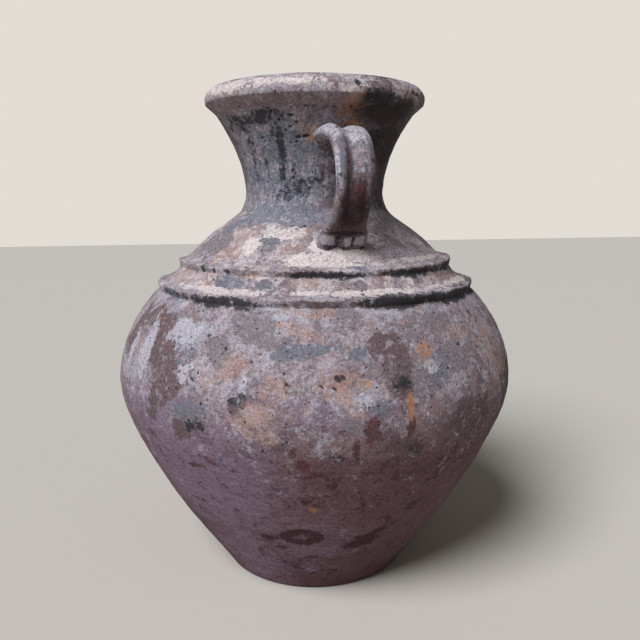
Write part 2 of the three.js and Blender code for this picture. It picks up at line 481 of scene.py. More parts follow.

# %% [markdown]
# ## Where the stains, painted shade and painted highlights are
# The finish of such a jar comes from what happened to it: lime wash brushed on and worn off, smoke
# from the kiln, damp, rust, salmon-coloured clay showing through. Some marks are painted light as
# well: soot, smoke and umber also paint shade on the ledges' faces, the neck's right side and the
# strap, and lime paints highlights along the ledges' top edges and the lip. Each kind of mark is a
# number on every point of the clay, high inside the mark and falling off outside it. The marks are
# laid on like dabs of a sponge, and the materials later tear their edges. Texture painting would be
# the usual way by hand; dabs in a short list stay easy to read and to change.
#
# A dab is its turn round the jar from the front handle in degrees, its height, its half width
# round the jar and half height in millimetres, its tilt in degrees, and its strength.

# %% Dabs that face the front
DABS = {
    "soot": [
        (-66, 570, 24, 8, 0, 0.82), (-52, 569, 14, 6, 0, 0.7), (-43, 571, 20, 8, 8, 0.92),
        (-60, 548, 6, 16, 0, 0.6), (-36, 535, 5, 30, -6, 0.75), (-37, 555, 8, 8, 0, 0.75),
        (-23, 494, 26, 13, 30, 0.62), (-12, 500, 10, 7, 30, 0.5), (-50, 520, 3, 20, 0, 0.6),
        (-28, 515, 3, 14, 0, 0.6), (-62, 520, 4, 26, 0, 0.5), (22, 592, 24, 7, 0, 0.9),
        (38, 586, 20, 8, 0, 0.8), (30, 550, 14, 18, 0, 0.7), (44, 601, 14, 3, 0, 0.5),
        # the dabs at heights 370 to 403 on the ledges' faces are soot and painted shade
        (8, 604, 3, 6, 20, 0.7), (22, 613, 26, 4, 0, 0.45), (-46, 374, 48, 5, 0, 1.1),
        (-35, 370, 16, 4, 0, 1.0), (-68, 375, 26, 4, 0, 0.7), (14, 373, 44, 6, 0, 1.6),
        (40, 373, 60, 6, 0, 1.4), (66, 374, 50, 6, 0, 1.2), (-42, 372, 40, 5, 0, 1.2),
        (-8, 401, 42, 4, 0, 1.15), (24, 401, 44, 4.5, 0, 1.15), (52, 402, 44, 5, 0, 1.1),
        (-60, 403, 4, 4, 0, 1.2), (-46, 402, 5, 2.5, 0, 1.1), (-53, 402, 4, 3, 0, 0.9),
        (-18, 400, 10, 2, 0, 1.0), (-31, 283, 12, 6, 15, 0.8), (-7, 304, 5, 3, -30, 0.9),
        (-42, 248, 13, 10, 20, 0.85), (9, 296, 10, 8, 0, 0.75), (-7, 222, 7, 4, 0, 0.7),
        (-3, 221, 5, 4, 0, 0.6), (12, 225, 11, 7, 0, 0.6), (58, 270, 30, 26, 20, 0.6),
    ],
    "smoke": [
        # smoke and painted shade: the neck's right side, away from the light, and the ledges' faces
        (34, 580, 60, 13, 0, 0.9), (48, 550, 50, 36, 0, 0.85), (58, 500, 40, 50, 0, 0.6),
        (16, 500, 26, 36, 0, 0.7), (60, 372, 60, 5, 0, 0.5), (20, 371, 60, 4, 0, 0.6),
    ],
    "stone": [
        (-70, 427, 34, 13, 6, 1.3), (-34, 434, 12, 15, -25, 1.0), (35, 452, 60, 12, 0, 0.6),
        (60, 440, 40, 16, 0, 0.7), (-45, 391, 14, 6, 0, 0.6), (-31, 391, 13, 6, 0, 0.9),
        (4, 391, 8, 6, 0, 1.0), (28, 393, 8, 5, 0, 0.8), (-29, 354, 27, 14, -8, 1.6),
        (-26, 339, 24, 9, -10, 1.3), (-4, 356, 14, 11, 0, 0.95), (9, 345, 26, 10, 0, 1.0),
        (-39, 326, 12, 17, 25, 1.25), (-50, 352, 16, 8, 20, 0.7), (22, 352, 34, 9, 0, 0.85),
        (38, 350, 24, 12, 0, 0.7), (-44, 256, 24, 17, 20, 0.85), (-57, 262, 20, 14, 0, 0.7),
        (-3, 258, 13, 12, 0, 0.9), (14, 296, 26, 24, -25, 0.9), (30, 318, 34, 20, 20, 0.62),
    ],
    "umber": [
        (-57, 306, 25, 42, 24, 1.5), (-53, 278, 30, 13, 38, 1.3), (-69, 346, 28, 10, 10, 1.1),
        (-79, 330, 18, 34, 10, 0.85), (8, 308, 14, 34, 4, 1.3), (6, 332, 22, 12, 0, 1.0),
        # the neck dabs from turn 14 round to the right, and those at 373 to 403 on the ledges' faces, are
        # umber and painted shade
        (-12, 577, 34, 15, 0, 0.5), (14, 575, 22, 18, 0, 0.8), (30, 560, 44, 44, 0, 1.2),
        (55, 540, 50, 62, 0, 1.2), (24, 510, 20, 40, 0, 1.0), (0, 520, 24, 34, 0, 0.75),
        (-2, 475, 26, 8, 0, 0.7), (70, 380, 60, 6, 0, 0.8), (-12, 373, 44, 4, 0, 0.9),
        (30, 403, 44, 3, 0, 0.8), (-46, 240, 18, 13, 20, 0.8), (-22, 234, 20, 9, 0, 0.62),
        (8, 236, 22, 12, -20, 0.75), (30, 236, 20, 14, 0, 0.75), (-58, 248, 14, 9, 0, 0.8),
        (-10, 214, 16, 7, 0, 0.62), (20, 196, 16, 8, 0, 0.62), (-31, 276, 12, 8, 0, 0.8),
        (30, 250, 60, 24, 0, 0.62), (60, 250, 60, 60, 0, 0.75),
    ],
    "salmon": [
        (-54, 434, 26, 16, 0, 1.5), (-48, 424, 14, 10, 40, 1.3), (-24, 424, 13, 12, 40, 1.05),
        (-44, 446, 12, 5, 10, 0.9), (-18, 445, 14, 10, 0, 0.7), (-75, 390, 40, 7, 0, 1.2),
        (-55, 392, 26, 7, 0, 1.05), (-36, 398, 12, 3, 0, 0.8), (-14, 392, 24, 5, 0, 0.7),
        (12, 391, 13, 6, 0, 1.2), (32, 390, 24, 6, 0, 1.0), (50, 388, 26, 6, 0, 0.9),
        (-13, 364, 30, 4, 0, 1.0), (-16, 349, 16, 8, 0, 0.9), (-34, 314, 22, 22, 40, 0.85),
        (-40, 298, 16, 9, 0, 1.0), (-22, 300, 22, 20, 0, 0.7), (-8, 300, 30, 16, 0, 0.6),
        (17, 322, 15, 11, 20, 1.1), (-6, 287, 32, 8, -46, 1.05), (-27, 262, 22, 14, 0, 0.95),
        (-25, 244, 16, 12, 0, 0.9), (-14, 274, 10, 8, 0, 0.9), (-69, 350, 5, 4, 0, 1.0),
        (-66, 330, 3, 3, 0, 1.0), (46, 300, 40, 40, 0, 0.7), (34, 340, 30, 14, 0, 0.8),
        (-84, 330, 14, 18, 0, 0.8), (-62, 600, 12, 4, 0, 0.9), (26, 612, 30, 3, 0, 0.7),
        (36, 601, 20, 3, 0, 0.9),
    ],
    "ochre": [
        (10.3, 274, 3.2, 13, 2, 1.5), (-22, 354, 2.6, 2.2, 0, 1.1), (16.5, 322, 9, 11, 20, 0.75),
        (-14, 551, 5, 6, 0, 0.95), (9, 565, 7, 9, 30, 0.85), (-1, 563, 9, 2.5, 0, 0.9),
        (7, 580, 12, 16, 0, 0.75), (12, 556, 12, 10, 0, 0.7), (-16, 562, 12, 10, 0, 0.45),
        (-43, 309, 3, 2.5, 0, 0.8), (-66, 347, 2.5, 2.5, 0, 1.2), (-13, 152, 6, 4, 0, 0.6),
        (0, 300, 5, 4, 0, 0.8),
    ],
    "dusk": [
        (-16, 330, 36, 6, 4, 1.25), (-2, 326, 12, 5, 20, 1.1), (-45, 391, 16, 7, 0, 1.1),
        (-30, 391, 10, 5, 0, 0.9), (-62, 318, 14, 26, 10, 0.7), (-50, 326, 16, 18, 0, 0.8),
        (-70, 374, 30, 6, 0, 1.0), (-34, 436, 9, 10, 0, 0.7), (-33, 545, 40, 30, 0, 0.6),
        (4, 412, 12, 8, 0, 0.8), (-45, 268, 24, 12, 0, 0.8), (13, 575, 5, 22, 0, 1.0),
        (-50, 462, 46, 13, 0, 0.95), (-20, 462, 34, 12, 0, 0.85), (-70, 450, 30, 10, 0, 0.7),
        (-45, 500, 60, 26, 0, 0.7), (20, 300, 22, 20, -20, 0.7), (2, 275, 14, 10, 0, 0.8),
        (-9, 560, 5, 10, 0, 0.7),
    ],
    "lime": [
        (-66, 312, 13, 34, 10, 1.1), (-75, 300, 8, 24, 8, 0.9), (-51, 340, 22, 15, 20, 0.9),
        (-46, 300, 14, 10, 0, 0.8), (-43, 428, 9, 11, 0, 1.2), (-28, 444, 30, 7, 0, 0.75),
        (-16, 417, 22, 5, 0, 1.2), (-5, 425, 18, 10, 0, 1.0), (6, 420, 22, 8, 0, 1.0),
        # the thin bands at 383 to 413 along the ledges' top edges, and the dabs on the lip at 600 to 608, are
        # lime and painted highlights
        (-47, 383, 70, 2.6, 0, 1.0), (5, 383, 80, 2.6, 0, 1.1), (50, 384, 60, 2.4, 0, 1.0),
        (-5, 411, 60, 2.4, 0, 0.9), (40, 413, 60, 2.6, 0, 1.0), (17, 308, 10, 8, -30, 0.8),
        (15, 262, 2, 2.6, 0, 1.5), (-58, 366, 4, 3, 0, 1.3), (24, 392, 5, 6, 0, 1.0),
        (-20, 362, 14, 4, 0, 0.7), (-30, 292, 6, 16, -20, 0.8), (-2, 282, 14, 9, 20, 0.8),
        (-60, 606, 60, 6, 0, 0.9), (-30, 608, 50, 5, 0, 0.8), (8, 600, 18, 3, 10, 1.0),
    ],
    "rust": [
        (1, 252, 9, 17, 0, 1.15), (-3, 232, 4, 12, 0, 1.0), (10.6, 252, 4, 12, 0, 1.1),
        (-17.5, 226, 4, 8, 0, 1.2), (-15.5, 213, 6, 7, -40, 1.05), (-12.5, 203, 9, 4, -20, 0.9),
        (-15, 199, 7, 3, 0, 0.8), (-8, 184, 6, 5, 0, 0.9), (-15, 163, 4, 4, 0, 0.9),
        (-52, 140, 16, 1.4, 0, 0.9), (2, 201, 9, 3, 0, 0.8), (9, 192, 10, 7, 20, 0.75),
        (16, 208, 12, 4, 20, 0.6), (-30, 102, 14, 5, 0, 0.95), (-25, 86, 7, 4, 0, 0.7),
        (5, 93, 22, 9, 18, 1.1), (9, 106, 13, 6, 40, 1.0), (14, 114, 8, 3, 30, 0.8),
        (0, 88, 12, 6, 0, 0.9), (-40, 205, 16, 5, -20, 0.6), (-46, 196, 10, 4, 0, 0.7),
        (-20, 46, 10, 4, -30, 0.7), (-15, 33, 8, 4, 0, 0.6), (-6, 40, 12, 3, 0, 0.5),
        (-14, 67, 10, 4, 0, 0.6), (-60, 222, 10, 7, 0, 0.7),
    ],
    "pits": [
        (-26, 574, 3.2, 1.3, 0, 1.3), (-23, 567, 2.8, 1.1, 8, 1.2), (-27, 562, 2.2, 1.2, 0, 1.1),
        (-18, 552, 4.5, 1.5, 4, 1.4), (-23, 551, 3.5, 1.4, 0, 1.3), (-30, 558, 1.8, 1.1, 0, 1.1),
        (-24, 546, 2.2, 1.0, 0, 1.1), (-34, 579, 1.6, 1.0, 0, 1.1), (-17, 583, 2.2, 1.0, 0, 1.1),
        (-33, 569, 1.8, 1.2, 0, 1.1), (-48, 551, 1.8, 1.4, 0, 1.1), (-56, 585, 1.6, 1.2, 0, 1.1),
        (-19, 300, 2.8, 1.2, -35, 1.2), (-11, 298, 2.8, 1.2, -35, 1.2), (-8, 296, 2.6, 1.4, -35, 1.2),
        (-44, 296, 3.0, 1.4, -35, 1.2), (34, 367, 2, 1.7, 0, 1.3), (29, 326, 2, 1.8, 0, 1.2),
        (42, 352, 2, 1.7, 0, 1.2), (-6, 306, 3.4, 1.6, -40, 1.3), (-28, 318, 2, 1.2, 0, 1.2),
        (-36, 330, 2, 1.3, 0, 1.2), (3, 382, 1.6, 1.2, 0, 1.2),
    ],
    "bloom": [
        (-46, 190, 90, 80, 0, 1.2), (-60, 250, 60, 40, 0, 1.0), (-44, 60, 50, 60, 0, 0.8),
        (-16, 90, 60, 50, 0, 0.45), (-10, 272, 40, 14, 0, 0.8), (2, 268, 20, 12, 0, 0.8),
        (24, 300, 20, 30, 0, 0.6), (60, 320, 30, 60, 0, 0.7),
    ],
}
RING_STAIN = (-17, 106, 22, 12)
print("dabs:", sum(len(marks) for marks in DABS.values()))

# %% [markdown]
# The far side weathered in the same way, so it gets dabs of the same kinds and sizes, with their
# painted shade and highlights, strewn by a seeded draw. Each copies a front dab's size and height and
# moves to a new turn.

# %% Dabs for the far side
FAR_SIDE = (82, 258)
MOVED_UP_OR_DOWN = 12
draw = np.random.default_rng(26)


def on_far_side(high, wide, tall, tilt, strength):
    near_ledges = abs(high - 375) < 40
    up = 0 if near_ledges else draw.uniform(-MOVED_UP_OR_DOWN, MOVED_UP_OR_DOWN)
    return draw.uniform(*FAR_SIDE), high + up, wide, tall, -tilt, strength


far_dabs = {}
for kind, marks in DABS.items():
    if kind == "pits":
        continue
    far_dabs[kind] = [on_far_side(*dab[1:]) for dab in marks]
all_dabs = {kind: marks + far_dabs.get(kind, []) for kind, marks in DABS.items()}
print("with the far side:", sum(len(marks) for marks in all_dabs.values()))

# %% [markdown]
# A dab is an even oval, and nothing on the jar is. So the clay's points are shaken sideways by two
# sizes of noise before they are measured against the dabs, less for small dabs, so that those stay
# where they are. Vector noise starts somewhere else on each run unless it is given a seed first.

# %% Laying the dabs on
SHAKEN_BY = 24
SHAKE_SEED = 26
noise.seed_set(SHAKE_SEED)


def shaken(points):
    broad = np.array([noise.noise_vector(point) for point in points * 26])
    fine = np.array([noise.noise_vector(point) for point in points * 85])
    return (14 * broad + 6 * fine)[:, :2].T


def dabbed(across_from, high, marks, shake=(0, 0)):
    field = np.zeros(len(high))
    for at, at_high, wide, tall, tilt, strength in marks:
        across = across_from(at) + min(1, wide / SHAKEN_BY) * shake[0]
        up = high - at_high + min(1, tall / SHAKEN_BY) * shake[1]
        slant = math.radians(tilt)
        along = (across * math.cos(slant) + up * math.sin(slant)) / wide
        over = (up * math.cos(slant) - across * math.sin(slant)) / tall
        field = np.maximum(field, strength * np.clip(1.5 - np.hypot(along, over), 0, 1))
    return field


def give(piece, name, field):
    attribute = piece.data.attributes.new(name, "FLOAT", "POINT")
    attribute.data.foreach_set("value", field.astype(np.float32))


def round_the_jar(points):
    x, y, z = (points / MM).T
    angle, radius = np.arctan2(x, -y), np.hypot(x, y)

    def across_from(turn):
        return ((angle - math.radians(turn) + math.pi) % (2 * math.pi) - math.pi) * radius

    return across_from, z, radius


for name, piece in pieces.items():
    if name.startswith("handle"):
        continue
    points = points_of(piece)
    across_from, high, radius = round_the_jar(points)
    inside = np.clip((wall_radius(points[:, 2]) / MM - radius - 5) / 2, 0, 1) * (high < 612)
    shake = shaken(points)
    for kind, marks in all_dabs.items():
        field = dabbed(across_from, high, marks, shake) * (1 - inside)
        if kind == "rust":
            at, at_high, wide, tall = RING_STAIN
            far = np.hypot(across_from(at) / wide, (high - at_high) / tall)
            field = np.maximum(field, 1.2 * np.exp(-(((far - 0.86) / 0.32) ** 2)) + 0.3 * (far < 0.86))
        give(piece, kind, field)
        if kind == "pits":
            unit = points * [1, 1, 0] / np.maximum(radius * MM, MM)[:, None]
            move_points(piece, points - unit * (1.3 * MM * np.clip(field, 0, 1))[:, None])
    give(piece, "inside", inside)
print("stains:", sorted(all_dabs))

# %% [markdown]
# The handles have their own short list. Here a dab's first number is its distance across the strap
# in millimetres. On top the strap is pale where the wash caught the ribs; the lower half kept the
# dark, the flutes are darkened with painted shade, and the clefts under the foot are black with
# painted shadow.

# %% Dabs on the handles
HANDLE_DABS = {
    "soot": [
        # the thin dabs low on the foot, from 427 to 445, are painted shadow under its lobes and in its clefts
        (-14, 430, 16, 2.0, 0, 0.75), (6, 427, 26, 2.2, 0, 0.8), (-7, 436, 3, 8, 0, 1.1),
        (10, 434, 2.5, 7, 0, 0.9), (0, 445, 20, 3, 0, 0.7), (-13, 505, 5, 2, -30, 0.9),
        (20, 520, 2.5, 2.5, 0, 1.0),
    ],
    "smoke": [
        # smoke and painted shade down the strap and in its flute
        (4, 468, 18, 22, 0, 0.8), (-4, 500, 4, 40, 0, 0.7), (20, 500, 5, 50, 0, 0.5),
        (0, 445, 22, 3, 0, 0.8),
    ],
    "stone": [
        (3, 436, 12, 7, 0, 0.9), (-4, 545, 8, 12, 20, 1.0), (14, 515, 4, 22, 0, 0.9),
        (-16, 520, 4, 10, 0, 0.6),
    ],
    "umber": [
        # umber; the narrow dab at -5 is painted shade in the strap's flute
        (4, 472, 17, 28, 0, 1.6), (4, 450, 18, 12, 0, 1.6), (-5, 505, 4, 32, 0, 1.3),
        (8, 500, 20, 9, 0, 0.8), (-14, 448, 8, 8, 0, 0.8),
    ],
    "salmon": [
        (-17, 478, 5, 12, 0, 0.9), (7, 458, 3, 10, 0, 1.0), (6, 530, 4, 18, 0, 0.8),
    ],
    "ochre": [
        (8, 462, 2, 8, 0, 0.45),
    ],
    "dusk": [
        (-14, 520, 5, 14, 0, 0.7), (3, 438, 8, 6, 0, 0.6),
    ],
    "lime": [
        (-18, 437, 9, 6, 0, 1.2), (4, 435, 6, 5, 0, 1.0), (18, 436, 6, 5, 0, 1.0),
        (-12, 556, 16, 9, 0, 1.1), (12, 551, 15, 12, 0, 1.1), (-18, 520, 3, 18, 0, 0.9),
        (10, 524, 5, 18, 0, 0.75),
    ],
    "rust": [
        (2, 476, 13, 26, 0, 0.8), (-8, 462, 3, 10, 0, 0.6),
    ],
    "pits": [
        (-10, 557, 1.6, 1.6, 0, 1.0),
    ],
    "bloom": [
        (0, 500, 30, 60, 0, 0.6),
    ],
}
for name in ("handle_front", "handle_back"):
    side = 1 if name == "handle_front" else -1
    x, y, z = (points_of(pieces[name]) / MM).T
    for kind, marks in HANDLE_DABS.items():
        give(pieces[name], kind, dabbed(lambda at: side * x - at, z, marks))
    give(pieces[name], "inside", np.zeros(len(x)))

# %% [markdown]
# ## The finish
# The finish is built as it came about, from the clay outwards: the fired body, the lime wash, the
# patches, the stains, and the small holes. Effects that all three clays use are node groups, made
# once. First come two small helpers, one to put a node in a tree and one to start a group.

# %% Helpers for nodes
def put(tree, kind, feeds=None, **settings):
    made = tree.nodes.new("ShaderNode" + kind)
    for setting, value in settings.items():
        setattr(made, setting, value)
    for socket, feed in (feeds or {}).items():
        if isinstance(feed, bpy.types.NodeSocket):
            tree.links.new(feed, made.inputs[socket])
        else:
            made.inputs[socket].default_value = feed
    return made.outputs


def start_group(name, entries, exits):
    tree = bpy.data.node_groups.new(name, "ShaderNodeTree")
    for label, kind, value in entries:
        socket = tree.interface.new_socket(label, in_out="INPUT", socket_type="NodeSocket" + kind)
        if value is not None:
            socket.default_value = value
    for label, kind in exits:
        tree.interface.new_socket(label, in_out="OUTPUT", socket_type="NodeSocket" + kind)
    return tree, tree.nodes.new("NodeGroupInput").outputs, tree.nodes.new("NodeGroupOutput")


def use(tree, group, feeds):
    made = tree.nodes.new("ShaderNodeGroup")
    made.node_tree = group
    for socket, feed in feeds.items():
        if isinstance(feed, bpy.types.NodeSocket):
            tree.links.new(feed, made.inputs[socket])
        else:
            made.inputs[socket].default_value = feed
    return made.outputs


def sums(tree, operation, *values):
    return put(tree, "Math", dict(enumerate(values)), operation=operation)[0]


def over(tree, mask, below, above):
    return put(tree, "Mix", {0: mask, 6: below, 7: above}, data_type="RGBA")[2]


def ramp(tree, value, low, high, to_low=0.0, to_high=1.0):
    feeds = {0: value, 1: low, 2: high, 3: to_low, 4: to_high}
    return put(tree, "MapRange", feeds, interpolation_type="SMOOTHSTEP")[0]


def cloud(tree, place, scale, detail=4.0, roughness=0.6, stretch_by=(1, 1, 1), shift=(0, 0, 0)):
    moved = put(tree, "Mapping", {"Vector": place, "Location": shift, "Scale": stretch_by})[0]
    feeds = {"Vector": moved, "Scale": scale, "Detail": detail, "Roughness": roughness}
    return put(tree, "TexNoise", feeds)["Fac"]


print("helpers ready")

# %% [markdown]
# A stain's field is smooth, but real stains have torn edges. This group adds two sizes of cloud to
# the field before cutting it off at a half, so the edge wanders and breaks up into specks.

# %% Group: torn patch
torn_patch, into, out = start_group(
    "torn_patch",
    [("Place", "Vector", None), ("Field", "Float", 0.5), ("Size", "Float", 30.0), ("Tear", "Float", 1.2),
     ("Speckle", "Float", 0.8), ("Softness", "Float", 0.12), ("Everywhere", "Float", 0.0),
     ("Shift", "Vector", None)],
    [("Mask", "Float")],
)
moved = put(torn_patch, "VectorMath", {0: into["Place"], 1: into["Shift"]}, operation="ADD")[0]
broad = {"Vector": moved, "Scale": into["Size"], "Detail": 7.0, "Roughness": 0.66, "Distortion": 0.7}
broad = put(torn_patch, "TexNoise", broad)["Fac"]
fine = {"Vector": moved, "Scale": 210.0, "Detail": 4.0, "Roughness": 0.62, "Distortion": 0.5}
fine = put(torn_patch, "TexNoise", fine)["Fac"]
tear = sums(torn_patch, "MULTIPLY", sums(torn_patch, "SUBTRACT", broad, 0.5), into["Tear"])
speckle = sums(torn_patch, "MULTIPLY", sums(torn_patch, "SUBTRACT", fine, 0.5), into["Speckle"])
near = sums(torn_patch, "MULTIPLY_ADD", into["Field"], 3.0, into["Everywhere"])
near = sums(torn_patch, "MINIMUM", near, 1.0)
level = sums(torn_patch, "MULTIPLY_ADD", sums(torn_patch, "ADD", tear, speckle), near, into["Field"])
lower = sums(torn_patch, "SUBTRACT", 0.5, into["Softness"])
upper = sums(torn_patch, "ADD", 0.5, into["Softness"])
torn_patch.links.new(ramp(torn_patch, level, lower, upper), out.inputs["Mask"])
print(torn_patch.name, len(torn_patch.nodes), "nodes")

# %% [markdown]
# Grit burns out of the clay in the kiln and leaves small dark holes, some round, some drawn out
# along the way the clay was turned. A Voronoi texture scatters the points, its random colour keeps
# only a share of them, and the distance to each point makes the hole.

# %% Group: burnt-out grit
grit_holes, into, out = start_group(
    "grit_holes",
    [("Place", "Vector", None), ("Spacing", "Float", 150.0), ("Hole", "Float", 0.2), ("Share", "Float", 0.4)],
    [("Mask", "Float")],
)
cells = put(grit_holes, "TexVoronoi", {"Vector": into["Place"], "Scale": into["Spacing"], "Randomness": 1.0})
chance = put(grit_holes, "SeparateColor", {"Color": cells["Color"]})
size = sums(grit_holes, "MULTIPLY", into["Hole"], sums(grit_holes, "ADD", chance["Green"], 0.35))
half_size = sums(grit_holes, "MULTIPLY", size, 0.55)
hole = ramp(grit_holes, cells["Distance"], half_size, size, 1.0, 0.0)
kept = sums(grit_holes, "LESS_THAN", chance["Red"], into["Share"])
grit_holes.links.new(sums(grit_holes, "MULTIPLY", hole, kept), out.inputs["Mask"])
print(grit_holes.name, len(grit_holes.nodes), "nodes")

# %% [markdown]
# The skin of the clay has three textures: sandy grain, faint lines round the jar from the wheel,
# and strokes up the neck from a coarse brush. The lines and strokes are clouds squeezed along one
# direction.

# %% Group: clay skin
clay_skin, into, out = start_group(
    "clay_skin",
    [("Place", "Vector", None), ("Wheel Lines", "Float", 0.5), ("Brush Strokes", "Float", 0.0)],
    [("Height", "Float"), ("Tone", "Float"), ("Regions", "Float"), ("Grain", "Float"), ("Lines", "Float"),
     ("Strokes", "Float")],
)
grain = cloud(clay_skin, into["Place"], 900.0, 3.0, 0.65)
lumps = cloud(clay_skin, into["Place"], 160.0, 4.0, 0.6, shift=(3, 1, 4))
lines = cloud(clay_skin, into["Place"], 1.0, 3.0, 0.6, stretch_by=(9, 9, 330))
strokes = cloud(clay_skin, into["Place"], 1.0, 4.0, 0.65, stretch_by=(260, 260, 42))
height = sums(clay_skin, "ADD", sums(clay_skin, "MULTIPLY", grain, 0.45), lumps)
height = sums(clay_skin, "MULTIPLY_ADD", lines, into["Wheel Lines"], height)
height = sums(clay_skin, "MULTIPLY_ADD", strokes, into["Brush Strokes"], height)
exits = {
    "Height": height,
    "Tone": cloud(clay_skin, into["Place"], 38.0, 6.0, 0.66),
    "Regions": cloud(clay_skin, into["Place"], 14.0, 3.0, 0.6, shift=(6, 2, 3)),
    "Grain": cloud(clay_skin, into["Place"], 380.0, 4.0, 0.7, shift=(2, 5, 1)),
    "Lines": lines,
    "Strokes": strokes,
}
for label, socket in exits.items():
    clay_skin.links.new(socket, out.inputs[label])
print(clay_skin.name, len(clay_skin.nodes), "nodes")

# %% [markdown]
# ## The clays
# One recipe makes all three clays, with each one's own amounts. Every layer is a colour and a mask,
# laid over the ones below. Most colours are the clay's own, seen in even light; the low clay colours,
# soot, smoke and umber also hold painted shade, and the lime holds painted highlights.

# %% Colours of the layers
CLAY_PINK = (0.270, 0.190, 0.190, 1)
CLAY_MAUVE = (0.150, 0.110, 0.125, 1)
# the two low clay colours are painted shade and a painted warm floor bounce on the lower body
CLAY_LOW_PAINTED_SHADE = (0.092, 0.033, 0.036, 1)
CLAY_FOOT_PAINTED_SHADE = (0.056, 0.013, 0.011, 1)
LIME_WASH = (0.405, 0.385, 0.445, 1)
LIME_CREAM = (0.620, 0.545, 0.535, 1)
LAVENDER = (0.200, 0.138, 0.205, 1)
VEIL_GREY = (0.165, 0.155, 0.180, 1)
UNDER_LIP_BROWN = (0.200, 0.138, 0.145, 1)
SALMON = (0.410, 0.290, 0.270, 1)
SALMON_DEEP = (0.320, 0.190, 0.160, 1)
STONE_GREY = (0.175, 0.148, 0.163, 1)
DUSK_BLUE = (0.118, 0.134, 0.168, 1)
# umber, also used as painted shade
UMBER_AND_SHADE = (0.105, 0.068, 0.072, 1)
# soot, also used as painted shade and painted shadow
SOOT_AND_SHADE = (0.022, 0.024, 0.030, 1)
RUST_RED = (0.080, 0.030, 0.034, 1)
RUST_DARK = (0.030, 0.008, 0.012, 1)
OCHRE = (0.440, 0.205, 0.095, 1)
# smoke and painted shade, laid without an edge
SMOKE_AND_SHADE = (0.020, 0.012, 0.013, 1)
HOLE_DARK = (0.022, 0.016, 0.017, 1)
INSIDE_DARK = (0.150, 0.110, 0.100, 1)


def attribute_field(tree, kind):
    return put(tree, "Attribute", attribute_name=kind)["Fac"]


